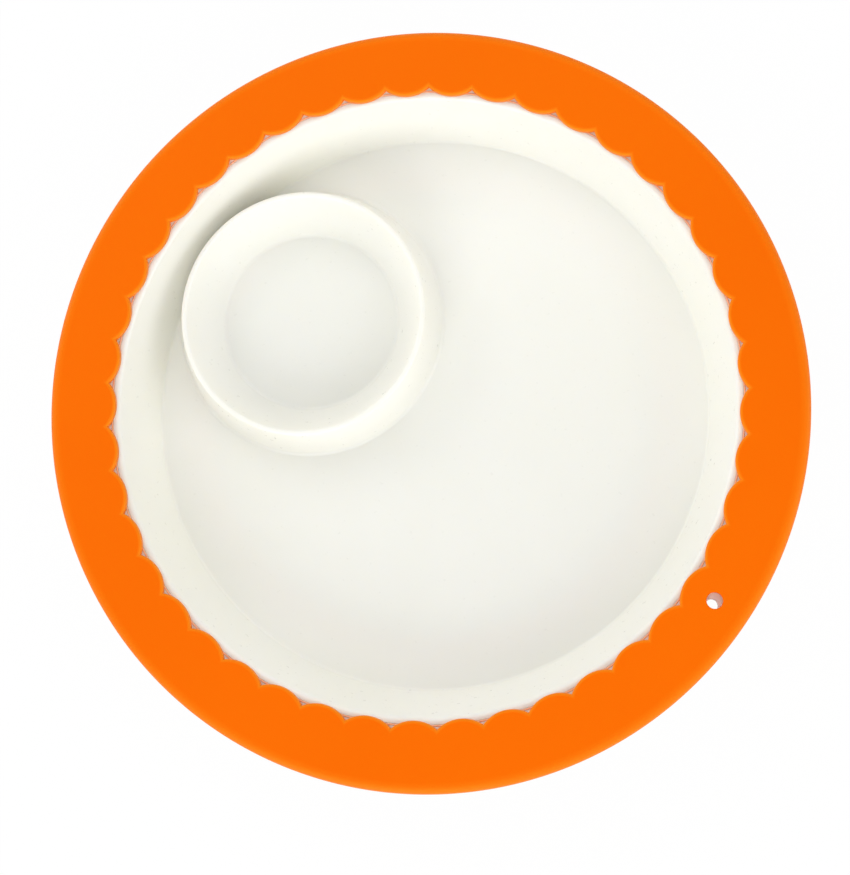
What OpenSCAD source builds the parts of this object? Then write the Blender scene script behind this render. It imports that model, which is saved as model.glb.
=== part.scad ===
// Round feeding bowl with a moulded dip cup, a scalloped silicone rim ring and a suction foot.
// Millimetres. The origin is on the table, on the axis of the bowl, and +Z is up.

/* [Bowl] */
// Radius of the flat floor, up to where it starts to curve into the wall
floor_r = 79.9; // [70:0.1:84]
// Depth of the well, from the flange's top face down to the floor
well_depth = 21.4; // [16:0.2:30]
// Thickness of the floor, the wall and the flange
wall_t = 2.4; // [1.8:0.1:3]
// Radius of the round between the floor and the wall
well_fillet = 1; // [0.5:0.5:8]
// How far the wall leans outwards, in degrees
wall_draft = 18.6; // [4:0.1:22]
// Radius of the round between the wall and the flange's top face
rim_round = 1.6; // [0.8:0.1:2.2]
// Width of the flange's flat top, from the round to its outer edge
flange_w = 14.2; // [12:0.2:20]
// Height of the turned-down lip at the flange's edge
flange_lip_h = 5; // [3.5:0.5:8]

/* [Dip cup] */
// Gap between the cup's crest and the bowl's wall
cup_wall_gap = 5.3; // [4:0.1:14]
// Direction of the cup from the bowl's axis, in degrees from +X
cup_angle = 144; // [0:0.5:360]
// Radius of the cup's flat floor
cup_floor_r = 25.4; // [16:0.2:27]
// Height of the cup's crest above the floor
cup_h = 16; // [10:0.5:19.5]
// Radius of the round between the cup's floor and its inner wall
cup_fillet = 1.5; // [0.5:0.5:5]
// How far the cup's inner wall leans outwards, in degrees
cup_draft = 27.2; // [10:0.1:28]
// How far the cup's outer wall leans inwards, in degrees
cup_outer_draft = 12; // [4:0.5:14]
// Thickness of the cup's crest, which is fully rounded
crest_t = 1.9; // [1.6:0.1:2.6]
// Radius of the round between the cup's outer wall and the floor
cup_foot_fillet = 1.5; // [0.5:0.5:4]

/* [Rim ring] */
// Thickness of the skirt around the flange's edge
skirt_t = 4.5; // [3:0.1:6]
// Thickness of the flat collar that lies on the flange
collar_t = 2.4; // [2:0.1:3.6]
// Radius of the rounded outer edge
ring_edge_r = 2.2; // [1:0.1:2.2]
// Height of the skirt below the flange's top face
skirt_h = 6.4; // [5:0.2:10]
// Number of lobes along the inner edge
lobe_count = 45; // [36:1:54]
// Radius of each lobe's round end
lobe_r = 10; // [8:0.5:12]
// How far the lobes stand in over the wall, from the end of the flange's flat
lobe_overhang = 0.4; // [0:0.1:1]
// Width of the locating rib under the collar
rib_w = 0.5; // [0.4:0.1:1]
// Distance from the start of the flange's flat to the middle of the rib
rib_in = 1; // [1:0.1:1.6]
// Depth of the rib below the flange's top face
rib_depth = 0.9; // [0.6:0.1:1.2]
// Height of the rib above the flange's top face, inside the collar
rib_rise = 0.5; // [0.2:0.1:1]
// How far the ring sits turned from the bowl's own hole, in degrees
ring_turn = 0.9; // [0:0.1:1.2]

/* [Holes] */
// Distance from the ring's outer edge to the middle of the small hole
hole_in = 10.1; // [8:0.1:12]
// Radius of the hole through the collar
collar_hole_r = 2.2; // [1.5:0.1:3]
// Radius of the hole through the flange
flange_hole_r = 1.7; // [1:0.1:2]

/* [Suction foot] */
// Height of the silicone foot, from the table to the bowl's underside
foot_h = 10; // [9:0.5:16]
// Thickness of the foot's wall outside the bowl's ring wall
foot_wall = 7.2; // [4:0.1:10]
// How far the sealing lip flares out past that wall
lip_flare = 8; // [5:0.5:12]
// Thickness of the sealing lip
foot_lip_t = 1.6; // [1.2:0.1:2.4]
// Width of the flat band of the lip that touches the table
seal_w = 6; // [4:0.5:8]
// Height of the hollow under the foot, on the axis
dome_h = 4; // [2:0.5:4.5]
// Thickness of the foot's wall inside the bowl's ring wall
foot_inner_wall = 7.8; // [4:0.1:12]
// Depth of that recess
recess_depth = 2.5; // [1:0.1:2.6]

/* [Socket] */
// Outer radius of the ring wall under the bowl that plugs into the foot
plug_r = 58.5; // [48:0.5:62]
// Thickness of that ring wall
plug_t = 2.4; // [1.8:0.1:3]
// Height of that ring wall
plug_h = 4; // [3:0.2:4.6]
// Gap between the ring wall and each side of its groove
socket_gap = 0.3; // [0.2:0.05:0.6]
// Gap between the flange's edge and the ring's skirt, and beside the rib
ring_gap = 0.3; // [0.2:0.05:0.5]

/* [Release tab] */
// Direction of the tab from the axis, in degrees from +X
tab_angle = 270; // [0:5:355]
// Width of the tab
tab_w = 16; // [10:1:24]
// How far the tab reaches past the sealing lip
tab_reach = 12; // [8:1:16]
// Thickness of the tab
tab_t = 1.8; // [1.4:0.1:2.4]
// Height of the tab's underside above the table
tab_lift = 0.4; // [0.2:0.1:0.8]
// Number of grip bars across the tab
grip_count = 3; // [1:1:4]
// Height of each grip bar
grip_h = 0.7; // [0.4:0.1:1]

/* [Hidden] */
$fn = 180;

cream = [0.96, 0.95, 0.92];
orange = [0.99, 0.46, 0.04];
eps = 0.01;
// Extra length of a cut past a face
past = 1;
// How far a straight edge lies inside the round that it runs into, so that the two cross cleanly
cross = 0.002;

// Heights above the table
under_z = foot_h;
floor_z = under_z + wall_t;
rim_z = floor_z + well_depth;

// Inner wall of the well: where the floor's round ends, and the wall's radius at a height
fillet_z = floor_z + well_fillet;
wall_start_r = floor_r + well_fillet * cos(wall_draft);
wall_start_z = fillet_z - well_fillet * sin(wall_draft);
function wall_r(z) = wall_start_r + (z - wall_start_z) * tan(wall_draft);

// The same wall's outer face
outer_fillet = well_fillet + wall_t;
outer_start_r = floor_r + outer_fillet * cos(wall_draft);
outer_start_z = fillet_z - outer_fillet * sin(wall_draft);
function outer_wall_r(z) = outer_start_r + (z - outer_start_z) * tan(wall_draft);

// Round between the wall and the flange: its centre, and where the flange's flat starts
rim_round_z = rim_z - rim_round;
flat_r = wall_r(rim_round_z) + rim_round / cos(wall_draft);
flange_r = flat_r + flange_w;
ring_r = flange_r + ring_gap + skirt_t;
rib_r = flat_r + rib_in;
groove_depth = rib_depth + ring_gap;

// Inner and outer walls of the cup, with the round crest between them
cup_fillet_z = floor_z + cup_fillet;
cup_start_r = cup_floor_r + cup_fillet * cos(cup_draft);
cup_start_z = cup_fillet_z - cup_fillet * sin(cup_draft);
function cup_wall_r(z) = cup_start_r + (z - cup_start_z) * tan(cup_draft);
crest_z = floor_z + cup_h - crest_t / 2;
crest_r = cup_wall_r(crest_z) + crest_t / 2 / cos(cup_draft);
crest_outer_r = crest_r + crest_t / 2 * cos(cup_outer_draft);
crest_outer_z = crest_z + crest_t / 2 * sin(cup_outer_draft);
cup_offset = wall_r(crest_z) - crest_outer_r - cup_wall_gap;
function cup_outer_r(z) = crest_outer_r + (crest_outer_z - z) * tan(cup_outer_draft);
crest_inner_z = crest_z + crest_t / 2 * sin(cup_draft);
crest_inner_r = cup_wall_r(crest_inner_z);

// Round at the foot of the cup's outer wall: its centre, and where it meets the wall
cup_foot_z = floor_z + cup_foot_fillet;
cup_foot_r = cup_outer_r(cup_foot_z) + cup_foot_fillet / cos(cup_outer_draft);
foot_tangent_z = cup_foot_z - cup_foot_fillet * sin(cup_outer_draft);
foot_tangent_r = cup_outer_r(foot_tangent_z);

// Hollow under the cup's ridge: both of its faces keep the wall's thickness
function hollow_inner_r(z) = cup_wall_r(z) + wall_t / cos(cup_draft);
function hollow_outer_r(z) = cup_outer_r(z) - wall_t / cos(cup_outer_draft);
hollow_taper = tan(cup_draft) + tan(cup_outer_draft);
hollow_top_z = floor_z + (hollow_outer_r(floor_z) - hollow_inner_r(floor_z)) / hollow_taper;
hollow_cut_z = min(hollow_top_z, crest_z) - crest_t / 2;

// Lobes: the tips stand in by the overhang, and the hole sits on the line of one lobe
tip_r = flat_r - lobe_overhang;
lobe_centre_r = tip_r + lobe_r;
half_pitch = 180 / lobe_count;
cusp_reach = lobe_centre_r * cos(half_pitch);
cusp_chord = lobe_centre_r * sin(half_pitch);
cusp_r = cusp_reach - sqrt(lobe_r * lobe_r - cusp_chord * cusp_chord);
hole_angle = cup_angle + 180;
ring_hole_angle = hole_angle + ring_turn;
hole_offset = ring_r - hole_in;

// Suction foot
groove_in_r = plug_r - plug_t - socket_gap;
groove_out_r = plug_r + socket_gap;
recess_r = groove_in_r - foot_inner_wall;
foot_top_r = groove_out_r + foot_wall;
foot_lip_r = foot_top_r + lip_flare;
flare_r = min(foot_lip_r - foot_top_r, foot_h - foot_lip_t - past);
seal_r = foot_lip_r - seal_w;
dome_r = (seal_r * seal_r + dome_h * dome_h) / (2 * dome_h);
grip_pitch = tab_reach / (grip_count + 1);
grip_w = min(1.6, grip_pitch / 2);

// Puts its children on a circle around the bowl's axis
module at(radius, angle, z = 0) {
    rotate([0, 0, angle])
    translate([radius, 0, z])
    children();
}

// Outer outline of the well's shell, without its hollow
module shell_section() {
    polygon([
        [0, under_z],
        [floor_r, under_z],
        [outer_start_r - cross, outer_start_z],
        [outer_wall_r(rim_z) - cross, rim_z],
        [0, rim_z]
    ]);
    intersection() {
        translate([floor_r, fillet_z])
        circle(outer_fillet);
        translate([0, under_z])
        square([outer_wall_r(rim_z), well_depth]);
    }
}

// Flat flange with its turned-down lip
module flange_section() {
    polygon([
        [outer_start_r, rim_z],
        [outer_start_r, rim_z - wall_t],
        [flange_r - wall_t, rim_z - wall_t],
        [flange_r - wall_t, rim_z - flange_lip_h],
        [flange_r, rim_z - flange_lip_h],
        [flange_r, rim_z]
    ]);
}

// Inside of the well
module well_section() {
    polygon([
        [0, floor_z],
        [floor_r, floor_z],
        [wall_start_r - cross, wall_start_z],
        [wall_r(rim_z) - cross, rim_z],
        [wall_r(rim_z) - cross, rim_z + past],
        [0, rim_z + past]
    ]);
    intersection() {
        translate([floor_r, fillet_z])
        circle(well_fillet);
        translate([0, floor_z])
        square([wall_r(rim_z), well_depth]);
    }
}

// What is cut away to round the edge between the wall and the flange
module rim_round_section() {
    tangent_z = rim_round_z + rim_round * sin(wall_draft);
    tangent_r = wall_r(tangent_z) - 2 * cross;
    centre_r = flat_r - 2 * cross;
    difference() {
        polygon([
            [centre_r, rim_round_z],
            [tangent_r, tangent_z],
            [tangent_r - eps, rim_z + past],
            [centre_r, rim_z + past]
        ]);
        translate([centre_r, rim_round_z])
        circle(rim_round);
    }
}

// Groove in the flange for the ring's rib
module rib_groove_section() {
    translate([rib_r - rib_w / 2 - ring_gap, rim_z - groove_depth])
    square([rib_w + 2 * ring_gap, groove_depth + past]);
}

// Ridge wall of the dip cup, with its round crest and the round at its foot
module ridge_section() {
    difference() {
        union() {
            polygon([
                [0, under_z],
                [cup_outer_r(floor_z), under_z],
                [cup_outer_r(floor_z), floor_z],
                [crest_outer_r - cross, crest_outer_z],
                [crest_r, crest_z],
                [crest_inner_r, crest_inner_z],
                [0, crest_inner_z]
            ]);
            translate([crest_r, crest_z])
            circle(crest_t / 2);
            difference() {
                polygon([
                    [cup_foot_r, floor_z],
                    [foot_tangent_r, foot_tangent_z],
                    [cup_floor_r, foot_tangent_z],
                    [cup_floor_r, floor_z]
                ]);
                translate([cup_foot_r - cross, cup_foot_z - cross])
                circle(cup_foot_fillet);
            }
        }
        cup_inside_section();
    }
}

// Inside of the dip cup, up to where its crest's round starts
module cup_inside_section() {
    difference() {
        polygon([
            [0, floor_z],
            [cup_floor_r, floor_z],
            [cup_start_r - cross, cup_start_z],
            [crest_inner_r + cross, crest_inner_z],
            [0, crest_inner_z + past]
        ]);
        translate([crest_r, crest_z])
        circle(crest_t / 2);
    }
    intersection() {
        translate([cup_floor_r, cup_fillet_z])
        circle(cup_fillet);
        translate([0, floor_z])
        square([cup_wall_r(cup_fillet_z), cup_fillet]);
    }
}

// Moulding hollow under the ridge, which keeps the plastic one thickness
module ridge_hollow_section() {
    polygon([
        [hollow_inner_r(floor_z), under_z - past],
        [hollow_outer_r(floor_z), under_z - past],
        [hollow_outer_r(floor_z), floor_z],
        [hollow_outer_r(hollow_cut_z), hollow_cut_z],
        [hollow_inner_r(hollow_cut_z), hollow_cut_z],
        [hollow_inner_r(floor_z), floor_z]
    ]);
}

// Rigid bowl: well, dip cup, flange and the ring wall underneath
module bowl() {
    color(cream) {
        difference() {
            union() {
                rotate_extrude()
                difference() {
                    union() {
                        shell_section();
                        flange_section();
                    }
                    well_section();
                    rim_round_section();
                    rib_groove_section();
                }
                intersection() {
                    at(cup_offset, cup_angle)
                    rotate_extrude()
                    ridge_section();
                    rotate_extrude()
                    shell_section();
                }
            }
            at(cup_offset, cup_angle)
            rotate_extrude()
            ridge_hollow_section();
            at(hole_offset, hole_angle, rim_z - wall_t - past)
            cylinder(h = wall_t + 2 * past, r = flange_hole_r);
        }
        translate([0, 0, under_z - plug_h])
        difference() {
            cylinder(h = plug_h + wall_t / 2, r = plug_r);
            translate([0, 0, -past])
            cylinder(h = plug_h + wall_t / 2 + 2 * past, r = plug_r - plug_t);
        }
    }
}

// Collar, skirt and rib of the ring, outside the band of lobes
module ring_section() {
    translate([lobe_centre_r, rim_z])
    square([ring_r - ring_edge_r - lobe_centre_r, collar_t]);
    translate([flange_r + ring_gap, rim_z - skirt_h])
    square([ring_r - ring_edge_r - flange_r - ring_gap, skirt_h + collar_t]);
    translate([flange_r + ring_gap, rim_z - skirt_h])
    square([ring_r - flange_r - ring_gap, skirt_h + collar_t - ring_edge_r]);
    translate([ring_r - ring_edge_r, rim_z + collar_t - ring_edge_r])
    intersection() {
        circle(ring_edge_r);
        square(ring_edge_r);
    }
    translate([rib_r - rib_w / 2, rim_z - rib_depth])
    square([rib_w, rib_depth + rib_rise]);
}

// Band of the collar whose inner edge is a row of round lobes
module lobe_band() {
    translate([0, 0, rim_z])
    linear_extrude(collar_t)
    difference() {
        circle(lobe_centre_r);
        difference() {
            circle(cusp_r + past);
            for (i = [0 : lobe_count - 1])
                at(lobe_centre_r, ring_hole_angle + i * 2 * half_pitch)
                circle(lobe_r);
        }
    }
}

// Elastic ring over the flange
module rim_ring() {
    color(orange)
    difference() {
        union() {
            rotate_extrude()
            ring_section();
            lobe_band();
        }
        at(hole_offset, ring_hole_angle, rim_z - past)
        cylinder(h = collar_t + 2 * past, r = collar_hole_r);
    }
}

// Foot: carrying plate, flared sealing lip, socket groove and the hollow that holds the vacuum
module foot_section() {
    difference() {
        union() {
            square([foot_top_r, foot_h]);
            square([foot_lip_r - foot_lip_t / 2, foot_lip_t]);
            translate([foot_lip_r - foot_lip_t / 2, foot_lip_t / 2])
            circle(foot_lip_t / 2);
            translate([foot_top_r - eps, foot_lip_t - eps])
            difference() {
                square(flare_r);
                translate([flare_r, flare_r])
                circle(flare_r);
            }
        }
        translate([groove_in_r, foot_h - plug_h - socket_gap])
        square([groove_out_r - groove_in_r, plug_h + socket_gap + past]);
        translate([-past, foot_h - recess_depth])
        square([recess_r + past, recess_depth + past]);
        intersection() {
            translate([0, dome_h - dome_r])
            circle(dome_r, $fn = 720);
            translate([-past, -past])
            square([foot_lip_r, dome_h + 2 * past]);
        }
    }
}

// Tongue that lifts the sealing lip off the table, with grip bars across it
module release_tab() {
    length = seal_w / 2 + tab_reach - tab_w / 2;
    difference() {
        translate([foot_lip_r - seal_w / 2, 0, tab_lift]) {
            translate([0, -tab_w / 2, 0])
            cube([length, tab_w, tab_t]);
            translate([length, 0, 0])
            cylinder(h = tab_t, r = tab_w / 2);
        }
        cylinder(h = foot_h, r = foot_lip_r - seal_w / 2);
    }
    for (i = [1 : grip_count])
        translate([foot_lip_r + i * grip_pitch - grip_w, -tab_w / 4, tab_lift + tab_t - eps])
        cube([grip_w, tab_w / 2, grip_h + eps]);
}

// Silicone foot that sticks to the table
module suction_base() {
    color(orange) {
        rotate_extrude()
        intersection() {
            foot_section();
            square([foot_lip_r, foot_h]);
        }
        rotate([0, 0, tab_angle])
        release_tab();
    }
}

bowl();
rim_ring();
suction_base();
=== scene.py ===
# %% [markdown]
# A child's suction bowl in three pieces: a glossy cream-white bowl with a small dip cup moulded
# into it, an orange silicone ring that lies over the bowl's flange, and a silicone suction foot.
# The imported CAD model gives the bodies, the joints and the overall box. It is loaded first and
# never changed: every piece made below stays inside its box and rides on one of its bodies.

# %% Load the frame
from math import acos, cos, degrees, hypot, pi, radians, sin, sqrt, tan

import bmesh
import bpy
from mathutils import Matrix, Vector


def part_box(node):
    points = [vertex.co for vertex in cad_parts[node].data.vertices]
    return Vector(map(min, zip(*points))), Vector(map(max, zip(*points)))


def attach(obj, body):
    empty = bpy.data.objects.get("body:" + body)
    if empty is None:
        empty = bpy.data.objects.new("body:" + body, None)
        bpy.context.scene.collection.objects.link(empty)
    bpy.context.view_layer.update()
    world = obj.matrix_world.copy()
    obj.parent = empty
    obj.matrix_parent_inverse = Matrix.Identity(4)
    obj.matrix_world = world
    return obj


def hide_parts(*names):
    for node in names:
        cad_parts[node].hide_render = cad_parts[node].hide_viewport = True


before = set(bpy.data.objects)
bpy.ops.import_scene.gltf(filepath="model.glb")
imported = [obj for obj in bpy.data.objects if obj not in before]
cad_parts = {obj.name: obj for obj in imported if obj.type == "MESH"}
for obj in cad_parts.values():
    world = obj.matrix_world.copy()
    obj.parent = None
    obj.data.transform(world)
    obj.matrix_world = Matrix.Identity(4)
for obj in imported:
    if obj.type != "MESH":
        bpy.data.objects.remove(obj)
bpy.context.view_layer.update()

MM = 0.001
TOP_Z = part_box("rim_ring")[1].z / MM
RIM_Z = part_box("bowl")[1].z / MM
FOOT_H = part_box("suction_base")[1].z / MM
RING_R = -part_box("rim_ring")[0].x / MM
FLANGE_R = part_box("bowl")[1].y / MM
print(f"top {TOP_Z:.2f}, flange {RIM_Z:.2f}, foot {FOOT_H:.2f}, ring R {RING_R:.2f} mm")

# %% [markdown]
# The camera stands almost straight above the bowl, a little towards its right front. It could be
# placed with a constraint, but a plain location and rotation is easier to read: the camera sits
# on a sphere around the point it looks at, and one small roll keeps the bowl upright in view. The
# bowl lies well off the lens's own axis, so the camera's frame is shifted towards it.

# %% Camera
VIEW_AZIMUTH = radians(29.86)
VIEW_ELEVATION = radians(74.27)
VIEW_DISTANCE = 0.5908
VIEW_ROLL = radians(0.52)
LENS = 84.03
SHIFT_RIGHT = 0.0514
SHIFT_UP = -0.2771
aim = Vector((-0.0122, 0.0586, TOP_Z * MM))
back = Vector((
    sin(VIEW_AZIMUTH) * cos(VIEW_ELEVATION),
    -cos(VIEW_AZIMUTH) * cos(VIEW_ELEVATION),
    sin(VIEW_ELEVATION),
))
upright = (Vector((0, 1, 0)) - back * back.y).normalized()
side = upright.cross(back)
turn = Matrix((side, upright, back)).transposed() @ Matrix.Rotation(VIEW_ROLL, 3, "Z")

camera = bpy.data.objects.new("camera", bpy.data.cameras.new("camera"))
camera.data.lens = LENS
camera.data.sensor_width = 36
camera.data.shift_x = SHIFT_RIGHT
camera.data.shift_y = SHIFT_UP
camera.data.clip_start = 0.01
camera.data.clip_end = 20
camera.matrix_world = Matrix.Translation(aim + back * VIEW_DISTANCE) @ turn.to_4x4()
bpy.context.scene.collection.objects.link(camera)
bpy.context.scene.camera = camera
bpy.context.scene.view_settings.view_transform = "Standard"
print("camera at", tuple(round(v, 3) for v in camera.location))

# %% [markdown]
# A material is a small graph of nodes. Two helpers keep the graphs short: one adds a node and
# sets its values, the other wires sockets together by name. Effects that both plastics share are
# node groups, so that one graph serves every material with its own numbers.


# %% Node helpers
def add(tree, kind, **values):
    """Adds a node. A value whose name is a socket's goes to that socket, the rest are settings."""
    node = tree.nodes.new(kind)
    for name, value in values.items():
        plain = name.replace("_", " ")
        if plain in node.inputs:
            node.inputs[plain].default_value = value
        else:
            setattr(node, name, value)
    return node


def wire(tree, source, socket, target, name):
    tree.links.new(source.outputs[socket], target.inputs[name])


def math_node(tree, operation, a, b=0.0, c=0.0):
    """A Math node whose inputs are numbers or (node, output) pairs."""
    node = tree.nodes.new("ShaderNodeMath")
    node.operation = operation
    for index, value in enumerate((a, b, c)):
        if isinstance(value, tuple):
            tree.links.new(value[0].outputs[value[1]], node.inputs[index])
        else:
            node.inputs[index].default_value = value
    return (node, "Value")


def new_group(name, inputs, outputs):
    """An empty node group; inputs map names to start values, outputs map names to socket types."""
    group = bpy.data.node_groups.new(name, "ShaderNodeTree")
    for label, value in inputs.items():
        socket = group.interface.new_socket(label, in_out="INPUT", socket_type="NodeSocketFloat")
        socket.default_value = value
    for label, kind in outputs.items():
        group.interface.new_socket(label, in_out="OUTPUT", socket_type=kind)
    return group, group.nodes.new("NodeGroupInput"), group.nodes.new("NodeGroupOutput")


# %% [markdown]
# Loose dust settles on silicone and on glossy plastic alike. Real specks are few and far apart,
# so a Voronoi pattern places one possible speck in each large cell, and a random value for each
# cell keeps only a few of them. The group puts out a mask, and each material decides its colour.

# %% Dust group
dust, dust_in, dust_out = new_group(
    "dust_specks",
    {"Scale": 90.0, "Size": 0.03, "Share": 0.1},
    {"Mask": "NodeSocketFloat"},
)
place = add(dust, "ShaderNodeTexCoord")
cells = add(dust, "ShaderNodeTexVoronoi")
wire(dust, place, "Object", cells, "Vector")
wire(dust, dust_in, "Scale", cells, "Scale")
parts = add(dust, "ShaderNodeSeparateColor")
wire(dust, cells, "Color", parts, "Color")
near = math_node(dust, "LESS_THAN", (cells, "Distance"), (dust_in, "Size"))
kept = math_node(dust, "LESS_THAN", (parts, "Red"), (dust_in, "Share"))
speck = math_node(dust, "MULTIPLY", near, kept)
dust.links.new(speck[0].outputs[0], dust_out.inputs["Mask"])
print("dust group has", len(dust.nodes), "nodes")

# %% [markdown]
# Moulded parts are never perfectly even. A slow noise stands for the flow of the material in the
# mould, and a fine one for the texture of the mould's skin. One group holds both, and gives a
# colour mask, a roughness mask and a height.

# %% Moulding group
mould, mould_in, mould_out = new_group(
    "moulded_surface",
    {"Flow Scale": 18.0, "Grain Scale": 900.0},
    {"Flow": "NodeSocketFloat", "Grain": "NodeSocketFloat", "Height": "NodeSocketFloat"},
)
place = add(mould, "ShaderNodeTexCoord")
flow = add(mould, "ShaderNodeTexNoise", Detail=3.0, Roughness=0.5, Distortion=0.6)
grain = add(mould, "ShaderNodeTexNoise", Detail=4.0, Roughness=0.6)
for noise, scale in ((flow, "Flow Scale"), (grain, "Grain Scale")):
    wire(mould, place, "Object", noise, "Vector")
    wire(mould, mould_in, scale, noise, "Scale")
waves = math_node(mould, "MULTIPLY", (flow, "Fac"), 4.0)
height = math_node(mould, "ADD", waves, (grain, "Fac"))
wire(mould, flow, "Fac", mould_out, "Flow")
wire(mould, grain, "Fac", mould_out, "Grain")
mould.links.new(height[0].outputs[0], mould_out.inputs["Height"])
print("moulding group has", len(mould.nodes), "nodes")

# %% [markdown]
# Every material starts from the same few moves: a Principled BSDF, a placed group, a mix of two
# colours under a mask, and a range that a mask is stretched to.


# %% Material start
def new_material(name, viewport):
    """A material with a Principled BSDF, and its node tree."""
    material = bpy.data.materials.new(name)
    material.use_nodes = True
    material.diffuse_color = (*viewport, 1)
    tree = material.node_tree
    return material, tree, tree.nodes["Principled BSDF"]


def place_group(tree, group, **values):
    node = tree.nodes.new("ShaderNodeGroup")
    node.node_tree = group
    for name, value in values.items():
        node.inputs[name.replace("_", " ")].default_value = value
    return node


def mix_colour(tree, factor, low, high, blend="MIX"):
    """A colour Mix node; low and high are colours or (node, output) pairs."""
    node = tree.nodes.new("ShaderNodeMix")
    node.data_type = "RGBA"
    node.blend_type = blend
    tree.links.new(factor[0].outputs[factor[1]], node.inputs[0])
    for index, value in ((6, low), (7, high)):
        if isinstance(value[0], bpy.types.Node):
            tree.links.new(value[0].outputs[value[1]], node.inputs[index])
        else:
            node.inputs[index].default_value = (*value, 1)
    return (node, 2)


def ramp(tree, value, low, high, to_low=0.0, to_high=1.0):
    """Maps a value from one range to another, and stops at the ends."""
    node = tree.nodes.new("ShaderNodeMapRange")
    node.clamp = True
    tree.links.new(value[0].outputs[value[1]], node.inputs["Value"])
    node.inputs["From Min"].default_value = low
    node.inputs["From Max"].default_value = high
    node.inputs["To Min"].default_value = to_low
    node.inputs["To Max"].default_value = to_high
    return (node, "Result")


def join(tree, source, target, name):
    tree.links.new(source[0].outputs[source[1]], target.inputs[name])


# %% [markdown]
# The bowl is injection-moulded plastic: cream-white, glossy and slightly milky. Light enters it a
# little before it comes back, so the shader has a short subsurface radius. The gloss comes from a
# low roughness that the moulding group varies, and a faint bump keeps highlights from being
# mirror-straight.

# %% Bowl plastic
CREAM = (0.866, 0.860, 0.784)
CREAM_THIN = (0.886, 0.880, 0.814)
plastic, tree, shader = new_material("cream_plastic", CREAM)
surface = place_group(tree, mould, Flow_Scale=14.0, Grain_Scale=650.0)
specks = place_group(tree, dust, Scale=38.0, Size=0.012, Share=0.035)
flow_mask = ramp(tree, (surface, "Flow"), 0.35, 0.65)
body_colour = mix_colour(tree, flow_mask, CREAM, CREAM_THIN)
dusty = mix_colour(tree, (specks, "Mask"), body_colour, (0.42, 0.36, 0.28))
join(tree, dusty, shader, "Base Color")
join(tree, ramp(tree, (surface, "Grain"), 0.3, 0.7, 0.27, 0.33), shader, "Roughness")
shader.inputs["IOR"].default_value = 1.49
shader.inputs["Subsurface Weight"].default_value = 0.3
shader.inputs["Subsurface Radius"].default_value = (1.0, 0.9, 0.7)
shader.inputs["Subsurface Scale"].default_value = 0.004
bump = add(tree, "ShaderNodeBump", Strength=0.02, Distance=0.00003)
join(tree, (surface, "Height"), bump, "Height")
join(tree, (bump, "Normal"), shader, "Normal")
print("bowl plastic has", len(tree.nodes), "nodes")

# %% [markdown]
# The ring is silicone: soft, satin and full of pigment. Where it gets thin, at the lobes' rounded
# edges and at the outer edge, a paler orange is painted in. This is painted light: it stands for
# light passing through the thin silicone and for the highlight on the rounded edges. The material
# finds those edges from the object's own coordinates: the distance from the axis for the outer edge,
# and the distance from the nearest lobe's centre for the inner one.

# %% Lobe and edge values
LOBES = 45
LOBE_R = 10.0
TIP_R = 88.57
HOLE_ANGLE = radians(324.9)
LOBE_CENTRE_R = TIP_R + LOBE_R
PITCH = 2 * pi / LOBES
cusp_chord = LOBE_CENTRE_R * sin(PITCH / 2)
CUSP_R = LOBE_CENTRE_R * cos(PITCH / 2) - sqrt(LOBE_R**2 - cusp_chord**2)
print(f"lobe tips at {TIP_R:.2f}, cusps at {CUSP_R:.2f} mm")

# %% [markdown]
# Both distances come out of a little trigonometry on the coordinates. The angle is folded into one
# lobe's share, and from there the distance to that lobe's centre is a plain square root.

# %% Painted edge-light group
thin, thin_in, thin_out = new_group(
    "silicone_painted_edge_light", {}, {"Lobe": "NodeSocketFloat", "Rim": "NodeSocketFloat"}
)
place = add(thin, "ShaderNodeTexCoord")
axes = add(thin, "ShaderNodeSeparateXYZ")
wire(thin, place, "Object", axes, "Vector")
angle = math_node(thin, "ARCTAN2", (axes, "Y"), (axes, "X"))
radius_squared = math_node(
    thin, "ADD",
    math_node(thin, "MULTIPLY", (axes, "X"), (axes, "X")),
    math_node(thin, "MULTIPLY", (axes, "Y"), (axes, "Y")),
)
radius = math_node(thin, "SQRT", radius_squared)
first_gap = HOLE_ANGLE - PITCH / 2 - 2 * pi
from_gap = math_node(thin, "FLOORED_MODULO", math_node(thin, "SUBTRACT", angle, first_gap), PITCH)
from_tip = math_node(thin, "SUBTRACT", from_gap, PITCH / 2)
inward = math_node(thin, "MULTIPLY", radius, math_node(thin, "COSINE", from_tip))
sideways = math_node(thin, "MULTIPLY", radius, math_node(thin, "SINE", from_tip))
reach = math_node(thin, "SUBTRACT", inward, LOBE_CENTRE_R * MM)
distance_squared = math_node(
    thin, "ADD",
    math_node(thin, "MULTIPLY", reach, reach),
    math_node(thin, "MULTIPLY", sideways, sideways),
)
from_edge = math_node(thin, "SUBTRACT", LOBE_R * MM, math_node(thin, "SQRT", distance_squared))
inside = math_node(thin, "LESS_THAN", radius, LOBE_CENTRE_R * MM)
# These two masks place the painted light at the lobes' edges and at the outer edge.
lobe_light_ramp = ramp(thin, from_edge, 0.0002, 0.0011, 1.0, 0.0)
lobe_light_mask = math_node(thin, "MULTIPLY", math_node(thin, "POWER", lobe_light_ramp, 1.4), inside)
rim_light_mask = ramp(thin, radius, (RING_R - 3.2) * MM, RING_R * MM)
thin.links.new(lobe_light_mask[0].outputs[0], thin_out.inputs["Lobe"])
thin.links.new(rim_light_mask[0].outputs[0], thin_out.inputs["Rim"])
print("thin-edge group has", len(thin.nodes), "nodes")

# %% [markdown]
# The ring and the foot are the same silicone, and only the ring gets the painted edge light on its
# thin edges. Real silicone has a satin sheen that turns pale at a low angle, which the shader's own
# Fresnel gives.

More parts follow.
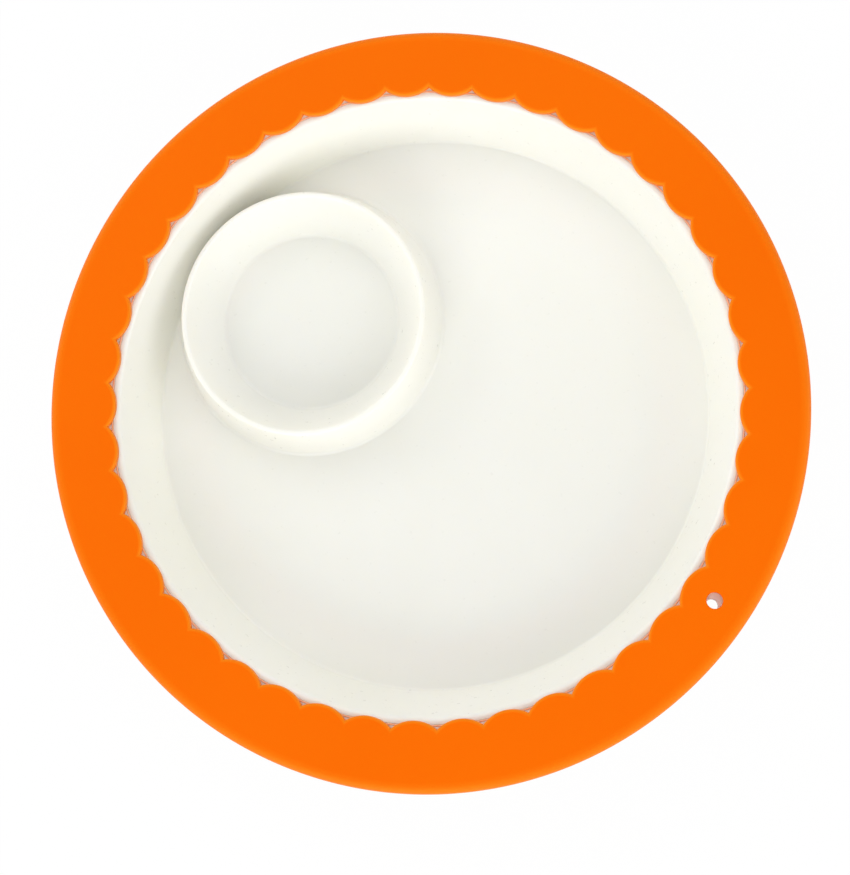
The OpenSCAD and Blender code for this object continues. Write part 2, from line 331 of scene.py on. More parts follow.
# %% Silicone
ORANGE = (0.87, 0.132, 0.0002)
ORANGE_DEEP = (0.855, 0.124, 0.0001)
# The paler third orange is painted light: it stands for light passing through the thin edges and for
# the highlight on their rounds.
ORANGE_PAINTED_EDGE_LIGHT = (0.90, 0.25, 0.010)
# The salmon below is painted light: the rib's paler colour stands for light shining through its thin
# orange silicone.
SALMON_PAINTED_GLOW = (0.95, 0.50, 0.30)


def make_silicone(name, with_edge_light):
    material, tree, shader = new_material(name, ORANGE)
    surface = place_group(tree, mould, Flow_Scale=10.0, Grain_Scale=1400.0)
    specks = place_group(tree, dust, Scale=45.0, Size=0.014, Share=0.06)
    flow_mask = ramp(tree, (surface, "Flow"), 0.35, 0.65)
    colour = mix_colour(tree, flow_mask, ORANGE_DEEP, ORANGE)
    # Painted light: the paler orange is mixed in at the lobes' edges and at the outer edge.
    if with_edge_light:
        edges = place_group(tree, thin)
        lobes = math_node(tree, "MULTIPLY", (edges, "Lobe"), 0.75)
        rim = math_node(tree, "MULTIPLY", (edges, "Rim"), 0.5)
        colour = mix_colour(tree, math_node(tree, "MAXIMUM", lobes, rim), colour, ORANGE_PAINTED_EDGE_LIGHT)
    dusty = mix_colour(tree, (specks, "Mask"), colour, (0.86, 0.42, 0.2))
    join(tree, dusty, shader, "Base Color")
    join(tree, ramp(tree, (surface, "Grain"), 0.3, 0.7, 0.5, 0.58), shader, "Roughness")
    shader.inputs["IOR"].default_value = 1.41
    shader.inputs["Specular IOR Level"].default_value = 0.5
    shader.inputs["Specular Tint"].default_value = (1.0, 0.8, 0.05, 1)
    shader.inputs["Subsurface Weight"].default_value = 0.1
    shader.inputs["Subsurface Radius"].default_value = (1.0, 0.35, 0.05)
    shader.inputs["Subsurface Scale"].default_value = 0.002
    bump = add(tree, "ShaderNodeBump", Strength=0.03, Distance=0.00003)
    join(tree, (surface, "Height"), bump, "Height")
    join(tree, (bump, "Normal"), shader, "Normal")
    return material


ring_silicone = make_silicone("ring_silicone", True)
foot_silicone = make_silicone("foot_silicone", False)
print("silicones:", ring_silicone.name, foot_silicone.name)

# %% [markdown]
# The rib under the collar is so thin that its orange looks like salmon where it crosses the notches.
# It gets the same shader with a paler colour and more light inside. The salmon colour is painted
# light: the rib is the ring's orange silicone, and the paler colour stands for light shining through
# it.

# %% Thin web
web, tree, shader = new_material("thin_web_painted_glow", SALMON_PAINTED_GLOW)
surface = place_group(tree, mould, Flow_Scale=60.0, Grain_Scale=2000.0)
# Painted light: the rib's salmon colour stands in for light shining through the thin silicone.
join(tree, mix_colour(tree, (surface, "Flow"), SALMON_PAINTED_GLOW, (0.96, 0.58, 0.38)), shader, "Base Color")
join(tree, ramp(tree, (surface, "Grain"), 0.3, 0.7, 0.4, 0.55), shader, "Roughness")
shader.inputs["Subsurface Weight"].default_value = 0.25
shader.inputs["Subsurface Scale"].default_value = 0.0006
print("thin web has", len(tree.nodes), "nodes")


# %% [markdown]
# Every piece here is turned on a lathe at heart. A profile is drawn in the XZ plane as a chain of
# edges, the way a pen moves: straight lines extrude the last vertex, and round corners spin it
# about a centre. A second spin about the Z axis turns the chain into a solid. The numbers are in
# millimetres, and the finished mesh is scaled to metres once.


# %% Lathe helpers
def pen_start(bm, x, z):
    return bmesh.ops.create_vert(bm, co=(x, 0, z))["vert"][0]


def line_to(bm, tip, x, z):
    """A straight edge from the pen's tip to (x, z)."""
    made = bmesh.ops.extrude_vert_indiv(bm, verts=[tip])["verts"][0]
    made.co = (x, 0, z)
    return made


def arc(bm, tip, x, z, turn, steps=10):
    """Turns the pen's tip about (x, z) by an angle in degrees, anticlockwise seen from the front."""
    made = bmesh.ops.spin(
        bm, geom=[tip], cent=(x, 0, z), axis=(0, -1, 0), angle=radians(turn), steps=steps
    )
    return next(v for v in made["geom_last"] if isinstance(v, bmesh.types.BMVert))


def corner(bm, tip, x, z, radius, start, turn, steps=4):
    """A line to the start of a rounded corner, and the round. The centre is (x, z)."""
    begin = radians(start)
    tip = line_to(bm, tip, x + radius * cos(begin), z + radius * sin(begin))
    return arc(bm, tip, x, z, turn, steps)


def close(bm, tip, start):
    """Joins the pen's tip to the vertex where the outline began."""
    bm.edges.new((tip, start))


def lathe(bm, steps, x=0.0, y=0.0):
    """Spins everything drawn so far about an upright axis, closes the poles, faces out."""
    bmesh.ops.spin(
        bm, geom=bm.verts[:] + bm.edges[:], cent=(0, 0, 0), axis=(0, 0, 1),
        angle=2 * pi, steps=steps, use_merge=True,
    )
    bmesh.ops.remove_doubles(bm, verts=bm.verts, dist=1e-5)
    bmesh.ops.recalc_face_normals(bm, faces=bm.faces)
    bmesh.ops.translate(bm, verts=bm.verts, vec=(x, y, 0))


def to_object(bm, name, *materials):
    """Scales a mesh from millimetres to metres and makes it an object."""
    bmesh.ops.scale(bm, verts=bm.verts, vec=(MM, MM, MM))
    mesh = bpy.data.meshes.new(name)
    bm.to_mesh(mesh)
    bm.free()
    piece = bpy.data.objects.new(name, mesh)
    bpy.context.scene.collection.objects.link(piece)
    for material in materials:
        mesh.materials.append(material)
    return piece


def apply_modifiers(piece):
    """Turns the piece's modifiers into plain mesh."""
    graph = bpy.context.evaluated_depsgraph_get()
    mesh = bpy.data.meshes.new_from_object(piece.evaluated_get(graph))
    piece.modifiers.clear()
    piece.data = mesh


def combine(piece, tool, operation):
    """Joins or cuts a piece with a closed tool, which is used up."""
    step = piece.modifiers.new("combine", "BOOLEAN")
    step.object = tool
    step.operation = operation
    step.solver = "EXACT"
    apply_modifiers(piece)
    bpy.data.objects.remove(tool)


def shade(piece, angle=40):
    """Smooth shading that stays crisp across edges sharper than the angle."""
    piece.data.shade_smooth()
    piece.data.set_sharp_from_angle(angle=radians(angle))
    weigh = piece.modifiers.new("weigh_normals", "WEIGHTED_NORMAL")
    weigh.keep_sharp = True
    apply_modifiers(piece)


def report(piece):
    mesh = piece.data
    triangles = sum(len(p.vertices) - 2 for p in mesh.polygons)
    loose = sum(1 for e in edge_use(mesh) if e != 2)
    print(f"{piece.name}: {triangles} triangles, {loose} open or shared edges")


def edge_use(mesh):
    """How many faces use each edge; a closed mesh has exactly two everywhere."""
    uses = [0] * len(mesh.edges)
    for loop in mesh.loops:
        uses[loop.edge_index] += 1
    return uses


# %% [markdown]
# The bowl's main shell is one turned profile. It runs from the middle of the floor outwards: the
# flat floor, the round into the wall, the wall, the round over onto the flange, the groove for
# the ring's rib, the flange's turned-down lip, and back underneath along the outside, with the
# ring wall that plugs into the suction foot.

# %% Bowl sizes
WALL = 2.4
FLOOR_Z = FOOT_H + WALL
FLOOR_R = 79.9
WELL_ROUND = 1.0
LEAN = 18.6
RIM_ROUND = 1.6
LIP_H = 5.0
PLUG_R = 58.5
PLUG_T = 2.4
PLUG_H = 4.0
lean = radians(LEAN)
round_z = FLOOR_Z + WELL_ROUND
wall_foot_r = FLOOR_R + WELL_ROUND * cos(lean)
wall_foot_z = round_z - WELL_ROUND * sin(lean)


def wall_r(z):
    return wall_foot_r + (z - wall_foot_z) * tan(lean)


flat_r = wall_r(RIM_Z - RIM_ROUND) + RIM_ROUND / cos(lean)
RIB_R = flat_r + 1.0
RIB_W = 0.5
RIB_DEPTH = 0.9
RIB_GAP = 0.04
print(f"the flange's flat starts at {flat_r:.2f}, the rib lies at {RIB_R:.2f} mm")

# %% [markdown]
# The pen walks around the shell's outline once. The small rounds at its corners catch the light
# the way real moulded edges do, so each of them has its own radius.

# %% Bowl shell
SMALL = 0.35
GROOVE_ROUND = 0.12
FLANGE_ROUND = 0.8
LIP_ROUND = 1.0
ROOT_ROUND = 1.2
PLUG_ROUND = 0.6
SHELL_STEPS = 360
bm = bmesh.new()
tip = pen_start(bm, 0, FLOOR_Z)
for fraction in (0.25, 0.5, 0.75, 1.0):
    tip = line_to(bm, tip, FLOOR_R * fraction, FLOOR_Z)
tip = arc(bm, tip, FLOOR_R, round_z, 90 - LEAN, 8)
turn_z = RIM_Z - RIM_ROUND + RIM_ROUND * sin(lean)
tip = line_to(bm, tip, wall_r(turn_z), turn_z)
tip = arc(bm, tip, flat_r, RIM_Z - RIM_ROUND, LEAN - 90, 8)
groove_in = RIB_R - RIB_W / 2 - RIB_GAP
groove_out = RIB_R + RIB_W / 2 + RIB_GAP
groove_z = RIM_Z - RIB_DEPTH - RIB_GAP
tip = corner(bm, tip, groove_in - GROOVE_ROUND, RIM_Z - GROOVE_ROUND, GROOVE_ROUND, 90, -90, 2)
tip = line_to(bm, tip, groove_in, groove_z)
tip = line_to(bm, tip, groove_out, groove_z)
tip = corner(bm, tip, groove_out + GROOVE_ROUND, RIM_Z - GROOVE_ROUND, GROOVE_ROUND, 180, -90, 2)
tip = corner(bm, tip, FLANGE_R - FLANGE_ROUND, RIM_Z - FLANGE_ROUND, FLANGE_ROUND, 90, -90, 5)
tip = corner(bm, tip, FLANGE_R - SMALL, RIM_Z - LIP_H + SMALL, SMALL, 0, -90)
lip_in = FLANGE_R - WALL
tip = corner(bm, tip, lip_in + SMALL, RIM_Z - LIP_H + SMALL, SMALL, 270, -90)
tip = corner(bm, tip, lip_in - LIP_ROUND, RIM_Z - WALL - LIP_ROUND, LIP_ROUND, 0, 90)
outer_round = WELL_ROUND + WALL
outer_foot_r = FLOOR_R + outer_round * cos(lean)
outer_foot_z = round_z - outer_round * sin(lean)
root_z = RIM_Z - WALL - ROOT_ROUND
root_r = outer_foot_r + (root_z - outer_foot_z) * tan(lean)
tip = corner(bm, tip, root_r + ROOT_ROUND / cos(lean), root_z, ROOT_ROUND, 90, 90 - LEAN)
tip = line_to(bm, tip, outer_foot_r, outer_foot_z)
tip = arc(bm, tip, FLOOR_R, round_z, LEAN - 90, 14)
tip = corner(bm, tip, PLUG_R + PLUG_ROUND, FOOT_H - PLUG_ROUND, PLUG_ROUND, 90, 90)
tip = corner(bm, tip, PLUG_R - SMALL, FOOT_H - PLUG_H + SMALL, SMALL, 0, -90)
tip = corner(bm, tip, PLUG_R - PLUG_T + SMALL, FOOT_H - PLUG_H + SMALL, SMALL, 270, -90)
tip = corner(bm, tip, PLUG_R - PLUG_T - PLUG_ROUND, FOOT_H - PLUG_ROUND, PLUG_ROUND, 0, 90)
for fraction in (0.66, 0.33, 0.0):
    tip = line_to(bm, tip, (PLUG_R - PLUG_T) * fraction, FOOT_H)
lathe(bm, SHELL_STEPS)
bowl = to_object(bm, "bowl_shell", plastic)
report(bowl)

# %% [markdown]
# The dip cup stands on the same floor. Its inner wall leans outwards like a small bowl, its crest
# is thin and fully rounded, and its outer wall falls almost straight to the floor with a small
# round at its foot. It is turned about its own axis as a solid and joined to the shell. The cup's
# floor lies a hair above the main floor, and the foot's round ends a hair below it, because faces
# that lie exactly on each other make a join ragged.

# %% Dip cup
CUP_ANGLE = radians(144)
CUP_FLOOR_R = 25.4
CUP_H = 16.0
CUP_ROUND = 1.5
CUP_LEAN = 27.2
CUP_OUT_LEAN = 12.0
CREST_T = 1.9
CUP_FOOT = 1.5
CUP_WALL_GAP = 5.3
CUP_STEPS = 240
HAIR = 0.03
cup_lean = radians(CUP_LEAN)
out_lean = radians(CUP_OUT_LEAN)
cup_z = FLOOR_Z + HAIR
cup_foot_r = CUP_FLOOR_R + CUP_ROUND * cos(cup_lean)
cup_foot_z = FLOOR_Z + CUP_ROUND - CUP_ROUND * sin(cup_lean)
crest_z = FLOOR_Z + CUP_H - CREST_T / 2
crest_r = cup_foot_r + (crest_z - cup_foot_z) * tan(cup_lean) + CREST_T / 2 / cos(cup_lean)
crest_out_r = crest_r + CREST_T / 2 * cos(out_lean)
crest_out_z = crest_z + CREST_T / 2 * sin(out_lean)
CUP_OFFSET = wall_r(crest_z) - crest_out_r - CUP_WALL_GAP
cup_x = CUP_OFFSET * cos(CUP_ANGLE)
cup_y = CUP_OFFSET * sin(CUP_ANGLE)


def cup_out_r(z):
    return crest_out_r + (crest_out_z - z) * tan(out_lean)


bm = bmesh.new()
tip = pen_start(bm, 0, cup_z)
for fraction in (0.5, 1.0):
    tip = line_to(bm, tip, CUP_FLOOR_R * fraction, cup_z)
tip = arc(bm, tip, CUP_FLOOR_R, cup_z + CUP_ROUND, 90 - CUP_LEAN, 12)
reach_r = crest_r - CREST_T / 2 * cos(cup_lean)
reach_z = crest_z + CREST_T / 2 * sin(cup_lean)
tip = line_to(bm, tip, reach_r, reach_z)
tip = arc(bm, tip, crest_r, crest_z, CUP_LEAN + CUP_OUT_LEAN - 180, 14)
foot_x = cup_out_r(FLOOR_Z + CUP_FOOT) + CUP_FOOT / cos(out_lean)
foot_turn = 90 - CUP_OUT_LEAN
tip = corner(bm, tip, foot_x, FLOOR_Z + CUP_FOOT - HAIR, CUP_FOOT, 270 - foot_turn, foot_turn, 8)
tip = line_to(bm, tip, foot_x, FLOOR_Z - WALL / 2)
tip = line_to(bm, tip, 0, FLOOR_Z - WALL / 2)
lathe(bm, CUP_STEPS, cup_x, cup_y)
cup = to_object(bm, "cup_tool", plastic)
print(f"cup axis {CUP_OFFSET:.2f} mm out, crest R {crest_r:.2f}, crest at {crest_z - FLOOR_Z:.2f} mm")

# %% [markdown]
# The cup stands so near the wall that its foot would come out through it. A second turned tool,
# which fills the bowl up to the middle of its wall, trims the cup before the two are joined.

# %% Cup's foot stays inside the shell
bm = bmesh.new()
tip = pen_start(bm, 0, FOOT_H + WALL / 4)
tip = line_to(bm, tip, FLOOR_R, FOOT_H + WALL / 4)
tip = arc(bm, tip, FLOOR_R, round_z - WALL / 4, 90 - LEAN, 14)
tip = line_to(bm, tip, wall_r(RIM_Z) + WALL / 2, RIM_Z - 1)
tip = line_to(bm, tip, 0, RIM_Z - 1)
lathe(bm, SHELL_STEPS)
limit = to_object(bm, "limit_tool", plastic)
combine(cup, limit, "INTERSECT")
combine(bowl, cup, "UNION")
report(bowl)

# %% [markdown]
# Thick plastic sinks as it cools, so a mould maker hollows the cup's ridge from below. The same
# kind of turned tool cuts that hollow, and a thin rod cuts the small hole through the flange.

# %% Hollow and hole
hollow_thick_in = WALL / cos(cup_lean)
hollow_thick_out = WALL / cos(out_lean)


def cup_in_r(z):
    return cup_foot_r + (z - cup_foot_z) * tan(cup_lean)


hollow_h = (cup_out_r(FLOOR_Z) - hollow_thick_out - cup_in_r(FLOOR_Z) - hollow_thick_in) / (
    tan(cup_lean) + tan(out_lean)
)
hollow_top = min(FLOOR_Z + hollow_h, crest_z) - CREST_T / 2
bm = bmesh.new()
first = pen_start(bm, cup_in_r(FLOOR_Z) + hollow_thick_in, FOOT_H - 1)
tip = line_to(bm, first, cup_out_r(FLOOR_Z) - hollow_thick_out, FOOT_H - 1)
tip = line_to(bm, tip, cup_out_r(FLOOR_Z) - hollow_thick_out, FLOOR_Z)
tip = line_to(bm, tip, cup_out_r(hollow_top) - hollow_thick_out, hollow_top)
tip = line_to(bm, tip, cup_in_r(hollow_top) + hollow_thick_in, hollow_top)
tip = line_to(bm, tip, cup_in_r(FLOOR_Z) + hollow_thick_in, FLOOR_Z)
close(bm, tip, first)
lathe(bm, CUP_STEPS, cup_x, cup_y)
hollow = to_object(bm, "hollow_tool", plastic)
combine(bowl, hollow, "DIFFERENCE")

HOLE_IN = 10.1
RING_TURN = radians(0.9)
HOLE_STEPS = 48
FLANGE_HOLE_R = 1.7
FLANGE_FLARE = 0.2


def hole_tool(radius, angle, low, high, flare):
    """A rod whose ends flare out, so that the hole it cuts has rounded edges."""
    bm = bmesh.new()
    offset = RING_R - HOLE_IN
    tip = pen_start(bm, 0, low - 1)
    tip = line_to(bm, tip, radius + flare, low - 1)
    tip = line_to(bm, tip, radius + flare, low)
    tip = arc(bm, tip, radius + flare, low + flare, -90, 4)
    tip = corner(bm, tip, radius + flare, high - flare, flare, 180, -90)
    tip = line_to(bm, tip, radius + flare, high + 1)
    tip = line_to(bm, tip, 0, high + 1)
    lathe(bm, HOLE_STEPS, offset * cos(angle), offset * sin(angle))
    return to_object(bm, "hole_tool")


flange_hole_angle = HOLE_ANGLE - RING_TURN
flange_hole = hole_tool(FLANGE_HOLE_R, flange_hole_angle, RIM_Z - WALL, RIM_Z, FLANGE_FLARE)
combine(bowl, flange_hole, "DIFFERENCE")
shade(bowl)
report(bowl)
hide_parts("bowl")
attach(bowl, "bowl_body")

# %% [markdown]
# The silicone ring is a lathe shape too, except for its inner edge, where a row of round lobes
# reaches in over the bowl. One lobe's outline is a vertex spun about the lobe's centre. Copies of
# it, turned around the axis, make the whole scalloped loop. Bridging that loop to a plain circle
# makes the collar's top and bottom, and a bevel rounds the lobes' edges.

# %% Ring's turned part
RING_EDGE = 2.2
SKIRT_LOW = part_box("rim_ring")[0].z / MM
LOBE_STEPS = 16
RING_STEPS = LOBES * LOBE_STEPS
BAND_R = 95.0
FLAT_R = 100.0
SKIRT_ROUND = 0.8
SKIRT_GAP = 0.3
first_cusp = HOLE_ANGLE - PITCH / 2
bm = bmesh.new()
tip = pen_start(bm, BAND_R, TOP_Z)
tip = line_to(bm, tip, FLAT_R, TOP_Z)
tip = corner(bm, tip, RING_R - RING_EDGE, TOP_Z - RING_EDGE, RING_EDGE, 90, -90, 10)
tip = corner(bm, tip, RING_R - SKIRT_ROUND, SKIRT_LOW + SKIRT_ROUND, SKIRT_ROUND, 0, -90, 5)
skirt_in = FLANGE_R + SKIRT_GAP
tip = corner(bm, tip, skirt_in + SKIRT_ROUND, SKIRT_LOW + SKIRT_ROUND, SKIRT_ROUND, 270, -90, 5)
tip = corner(bm, tip, skirt_in - SKIRT_GAP, RIM_Z - SKIRT_GAP, SKIRT_GAP, 0, 90, 3)
tip = line_to(bm, tip, BAND_R, RIM_Z)
bmesh.ops.rotate(bm, verts=bm.verts, cent=(0, 0, 0), matrix=Matrix.Rotation(first_cusp, 3, "Z"))
bmesh.ops.spin(
    bm, geom=bm.verts[:] + bm.edges[:], cent=(0, 0, 0), axis=(0, 0, 1),
    angle=2 * pi, steps=RING_STEPS, use_merge=True,
)
print("turned part has", len(bm.faces), "faces")

# %% [markdown]
# The loop of lobes starts as one vertex, spun about the first lobe's centre. The ends of
# neighbouring arcs meet in the notches, so merging them closes the loop.


# %% Lobes
def scalloped_loop(bm, z):
    """A closed loop of edges, made of one arc for each lobe."""
    centre = Vector((LOBE_CENTRE_R, 0, z))
    start = Vector((CUSP_R * cos(PITCH / 2), -CUSP_R * sin(PITCH / 2), z))
    half = acos((centre - start).normalized().dot(Vector((1, 0, 0))))
    vert = bmesh.ops.create_vert(bm, co=start)["vert"][0]
    made = bmesh.ops.spin(
        bm, geom=[vert], cent=centre, axis=(0, 0, -1), angle=2 * half, steps=LOBE_STEPS
    )
    verts = {vert, *(v for v in made["geom_last"] if isinstance(v, bmesh.types.BMVert))}
    grown = set(verts)
    while grown:
        found = {e.other_vert(v) for v in grown for e in v.link_edges} - verts
        verts |= found
        grown = found
    edges = {e for v in verts for e in v.link_edges}
    bmesh.ops.rotate(bm, verts=list(verts), matrix=Matrix.Rotation(HOLE_ANGLE, 3, "Z"))
    every_vert = list(verts)
    for index in range(1, LOBES):
        copy = bmesh.ops.duplicate(bm, geom=list(verts) + list(edges))["geom"]
        copied = [v for v in copy if isinstance(v, bmesh.types.BMVert)]
        bmesh.ops.rotate(bm, verts=copied, matrix=Matrix.Rotation(index * PITCH, 3, "Z"))
        every_vert += copied
    bmesh.ops.remove_doubles(bm, verts=every_vert, dist=1e-3)
    return [e for e in bm.edges if e.is_wire and abs(e.verts[0].co.z - z) < 1e-3]


def loop_at(bm, radius, z):
    """The open edges that lie on a circle."""
    def on_circle(v):
        return abs(hypot(v.co.x, v.co.y) - radius) < 1e-3 and abs(v.co.z - z) < 1e-3
    return [e for e in bm.edges if e.is_boundary and all(on_circle(v) for v in e.verts)]


top_lobes = scalloped_loop(bm, TOP_Z)
low_lobes = scalloped_loop(bm, RIM_Z)
bmesh.ops.bridge_loops(bm, edges=top_lobes + loop_at(bm, BAND_R, TOP_Z))
bmesh.ops.bridge_loops(bm, edges=low_lobes + loop_at(bm, BAND_R, RIM_Z))
bmesh.ops.bridge_loops(bm, edges=top_lobes + low_lobes)
bmesh.ops.recalc_face_normals(bm, faces=bm.faces)
LOBE_ROUND = 0.7
LOW_ROUND = 0.25
for edges, size, segments in ((top_lobes, LOBE_ROUND, 5), (low_lobes, LOW_ROUND, 2)):
    bmesh.ops.bevel(
        bm, geom=edges, offset=size, offset_type="OFFSET", segments=segments,
        profile=0.5, affect="EDGES", material=-1,
    )
print("ring has", len(bm.faces), "faces")

# %% [markdown]
# Two details remain. A thin rib runs under the collar in the flange's groove and shows as a fine
# line in every notch. It is a turned strip of its own within the same piece. The small hole goes
# through the middle of one lobe, a little out of line with the flange's own hole.

# %% Ring object
ring = to_object(bm, "silicone_ring", ring_silicone, web)
COLLAR_HOLE_R = 2.2
COLLAR_FLARE = 0.3
collar_hole = hole_tool(COLLAR_HOLE_R, HOLE_ANGLE, RIM_Z, TOP_Z, COLLAR_FLARE)
combine(ring, collar_hole, "DIFFERENCE")
bm = bmesh.new()
RIB_RISE = 0.1
RIB_ROUND = 0.15
rib_round_z = RIM_Z + RIB_RISE - RIB_ROUND
first = pen_start(bm, RIB_R - RIB_W / 2, RIM_Z - RIB_DEPTH)
tip = line_to(bm, first, RIB_R + RIB_W / 2, RIM_Z - RIB_DEPTH)
tip = corner(bm, tip, RIB_R + RIB_W / 2 - RIB_ROUND, rib_round_z, RIB_ROUND, 0, 90, 3)
tip = corner(bm, tip, RIB_R - RIB_W / 2 + RIB_ROUND, rib_round_z, RIB_ROUND, 90, 90, 3)
close(bm, tip, first)
lathe(bm, RING_STEPS)
rib = to_object(bm, "rib_tool", ring_silicone, web)
for face in rib.data.polygons:
    face.material_index = 1
combine(ring, rib, "UNION")
shade(ring)
report(ring)
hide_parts("rim_ring")
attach(ring, "ring")

# %% [markdown]
# The suction foot carries the bowl and holds it to the table. Its wall grips the ring wall under
# the bowl, and flares out into a thin lip. Pressing the bowl down squeezes the air out of the
# shallow dome under it, and lifting the tab lets the air back in.

# %% Suction foot
LIP_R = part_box("suction_base")[1].x / MM
LIP_T = 1.6
SEAL_W = 6.0
DOME_H = 4.0
FLARE = 7.4
CARRY_R = 66.0
SOCKET_GAP = 0.3
CARRY_ROUND = 0.8
RECESS_R = 48.0
RECESS = 2.5
RECESS_ROUND = 1.5
DOME_STEPS = 12
seal_r = LIP_R - SEAL_W
dome_r = (seal_r**2 + DOME_H**2) / (2 * DOME_H)
dome_angle = degrees(acos((dome_r - DOME_H) / dome_r))
bm = bmesh.new()
tip = pen_start(bm, 0, FOOT_H - RECESS)
recess_z = FOOT_H - RECESS + RECESS_ROUND
tip = corner(bm, tip, RECESS_R - RECESS_ROUND, recess_z, RECESS_ROUND, 270, 90)
tip = corner(bm, tip, RECESS_R + SMALL, FOOT_H - SMALL, SMALL, 180, -90)
slot_in = PLUG_R - PLUG_T - SOCKET_GAP
slot_out = PLUG_R + SOCKET_GAP
slot_z = FOOT_H - PLUG_H - SOCKET_GAP
tip = corner(bm, tip, slot_in - SMALL, FOOT_H - SMALL, SMALL, 90, -90)
tip = line_to(bm, tip, slot_in, slot_z)
tip = line_to(bm, tip, slot_out, slot_z)
tip = corner(bm, tip, slot_out + SMALL, FOOT_H - SMALL, SMALL, 180, -90)
tip = corner(bm, tip, CARRY_R - CARRY_ROUND, FOOT_H - CARRY_ROUND, CARRY_ROUND, 90, -90, 5)
tip = corner(bm, tip, CARRY_R + FLARE, LIP_T + FLARE, FLARE, 180, 84, 14)
tip = corner(bm, tip, LIP_R - LIP_T / 2, LIP_T / 2, LIP_T / 2, 90, -180, 8)
tip = line_to(bm, tip, seal_r, 0)
for step in range(DOME_STEPS):
    tip = arc(bm, tip, 0, DOME_H - dome_r, dome_angle / DOME_STEPS, 1)
lathe(bm, SHELL_STEPS)
foot = to_object(bm, "suction_foot", foot_silicone)
report(foot)

# %% [markdown]
# The release tab is a flat tongue of the same silicone. A rounded rectangle is extruded and its
# edges are bevelled, and three small bars across it give a fingertip some grip.

# %% Release tab
TAB_W = 16.0
TAB_T = 1.8
TAB_LIFT = 0.4
TAB_REACH = 12.0
TAB_ROUND = 0.5
GRIPS = 3
GRIP_T = 1.5
GRIP_H = 1.4
GRIP_ROUND = 0.4
tab_start = LIP_R - SEAL_W / 2
tab_length = SEAL_W / 2 + TAB_REACH - TAB_W / 2
bm = bmesh.new()
vert = bmesh.ops.create_vert(bm, co=(tab_start + tab_length, -TAB_W / 2, TAB_LIFT))["vert"][0]
bmesh.ops.spin(
    bm, geom=[vert], cent=(tab_start + tab_length, 0, TAB_LIFT), axis=(0, 0, 1), angle=pi, steps=24
)
ends = [v for v in bm.verts if len(v.link_edges) == 1]
for v in ends:
    made = bmesh.ops.extrude_vert_indiv(bm, verts=[v])["verts"][0]
    made.co.x = tab_start
bmesh.ops.contextual_create(bm, geom=[v for v in bm.verts if len(v.link_edges) == 1])
face = bmesh.ops.contextual_create(bm, geom=bm.edges[:])["faces"][0]
raised = bmesh.ops.extrude_face_region(bm, geom=[face])["geom"]
bmesh.ops.translate(
    bm, verts=[v for v in raised if isinstance(v, bmesh.types.BMVert)], vec=(0, 0, TAB_T)
)
bmesh.ops.recalc_face_normals(bm, faces=bm.faces)
flat_edges = [e for e in bm.edges if abs(e.verts[0].co.z - e.verts[1].co.z) < 1e-6]
bmesh.ops.bevel(
    bm, geom=flat_edges, offset=TAB_ROUND, offset_type="OFFSET", segments=4,
    profile=0.5, affect="EDGES", material=-1,
)
tab = to_object(bm, "tab_tool", foot_silicone)
tab.data.transform(Matrix.Rotation(-pi / 2, 4, "Z"))
combine(foot, tab, "UNION")
grip_pitch = TAB_REACH / (GRIPS + 1)
for index in range(1, GRIPS + 1):
    bm = bmesh.new()
    bmesh.ops.create_cube(bm, size=1)
    bmesh.ops.scale(bm, verts=bm.verts, vec=(TAB_W / 2, GRIP_T, GRIP_H))
    bmesh.ops.bevel(
        bm, geom=bm.edges[:], offset=GRIP_ROUND, offset_type="OFFSET", segments=4,
        profile=0.5, affect="EDGES", material=-1,
    )
    place = (0, -(LIP_R + index * grip_pitch - GRIP_T / 2), TAB_LIFT + TAB_T)
    bmesh.ops.translate(bm, verts=bm.verts, vec=place)
    combine(foot, to_object(bm, "grip_tool", foot_silicone), "UNION")
shade(foot)
report(foot)
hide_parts("suction_base")
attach(foot, "foot")

# %% [markdown]
# The studio is a pale floor and soft light from all sides. The floor's shader gives the camera
# mostly plain white and a part of its real, shaded surface, so that the background stays white
# and the bowl still casts its soft shadow.

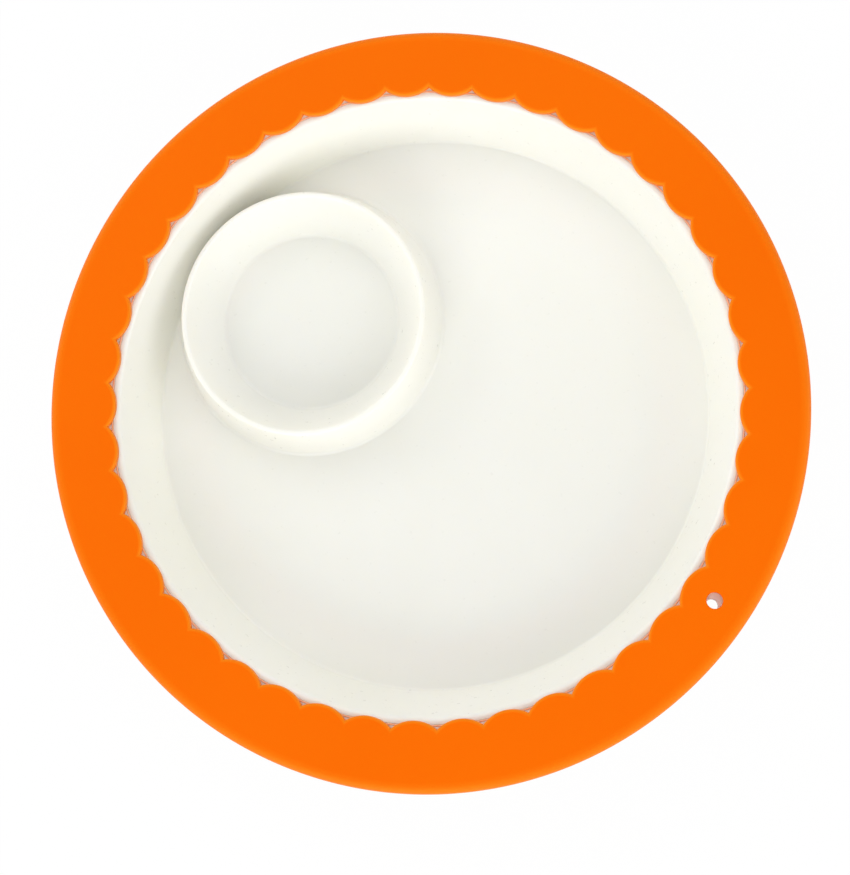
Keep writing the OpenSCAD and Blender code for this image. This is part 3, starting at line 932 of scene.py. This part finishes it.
# %% Floor
FLOOR_HALF = 6000
PLAIN_WHITE = 0.97
bm = bmesh.new()
bmesh.ops.create_grid(bm, x_segments=1, y_segments=1, size=FLOOR_HALF)
floor_material, tree, shader = new_material("studio_floor", (1, 1, 1))
tree.nodes.remove(shader)
seen = add(tree, "ShaderNodeLightPath")
rays = math_node(
    tree, "MAXIMUM", (seen, "Is Camera Ray"),
    math_node(tree, "MAXIMUM", (seen, "Is Glossy Ray"), (seen, "Is Transmission Ray")),
)
share = math_node(tree, "MULTIPLY", rays, PLAIN_WHITE)
paper = add(tree, "ShaderNodeBsdfDiffuse", Color=(0.9, 0.9, 0.9, 1))
glow = add(tree, "ShaderNodeEmission", Color=(1, 1, 1, 1), Strength=1.0)
blend = add(tree, "ShaderNodeMixShader")
join(tree, share, blend, "Fac")
tree.links.new(paper.outputs[0], blend.inputs[1])
tree.links.new(glow.outputs[0], blend.inputs[2])
tree.links.new(blend.outputs[0], tree.nodes["Material Output"].inputs["Surface"])
floor = to_object(bm, "floor", floor_material)

# %% [markdown]
# Four soft boxes and a pale sky light the bowl. The low ones brighten the walls that face them,
# the high one behind brightens the floor, and the sky fills the valley beside the cup. To the
# camera alone the sky is plain white.


# %% Lamps
def softbox(name, azimuth, elevation, distance, size, power):
    """A square soft lamp that looks at the bowl; azimuth 0 is the front, 90 the right."""
    lamp = bpy.data.lights.new(name, "AREA")
    lamp.shape = "SQUARE"
    lamp.size = size
    lamp.energy = power
    stand = bpy.data.objects.new(name, lamp)
    a, e = radians(azimuth), radians(elevation)
    away = Vector((sin(a) * cos(e), -cos(a) * cos(e), sin(e)))
    turn = away.to_track_quat("Z", "Y").to_matrix().to_4x4()
    stand.matrix_world = Matrix.Translation(away * distance) @ turn
    bpy.context.scene.collection.objects.link(stand)


LAMP_AWAY = 1.3
LAMP_SIZE = 0.9
softbox("key_front", -15, 27, LAMP_AWAY, LAMP_SIZE, 7.8)
softbox("fill_right", 70, 27, LAMP_AWAY, LAMP_SIZE, 5.6)
softbox("fill_left", -125, 27, LAMP_AWAY, LAMP_SIZE, 4.4)
softbox("back_high", 185, 52, LAMP_AWAY, LAMP_SIZE, 3.0)

world = bpy.data.worlds.new("studio")
bpy.context.scene.world = world
world.use_nodes = True
tree = world.node_tree
sky = tree.nodes["Background"]
seen = add(tree, "ShaderNodeLightPath")
white_sky = add(tree, "ShaderNodeBackground", Color=(1, 1, 1, 1), Strength=1.0)
sky.inputs["Color"].default_value = (0.97, 0.98, 1.0, 1)
sky.inputs["Strength"].default_value = 0.62
pick = add(tree, "ShaderNodeMixShader")
wire(tree, seen, "Is Camera Ray", pick, "Fac")
tree.links.new(sky.outputs[0], pick.inputs[1])
tree.links.new(white_sky.outputs[0], pick.inputs[2])
tree.links.new(pick.outputs[0], tree.nodes["World Output"].inputs["Surface"])
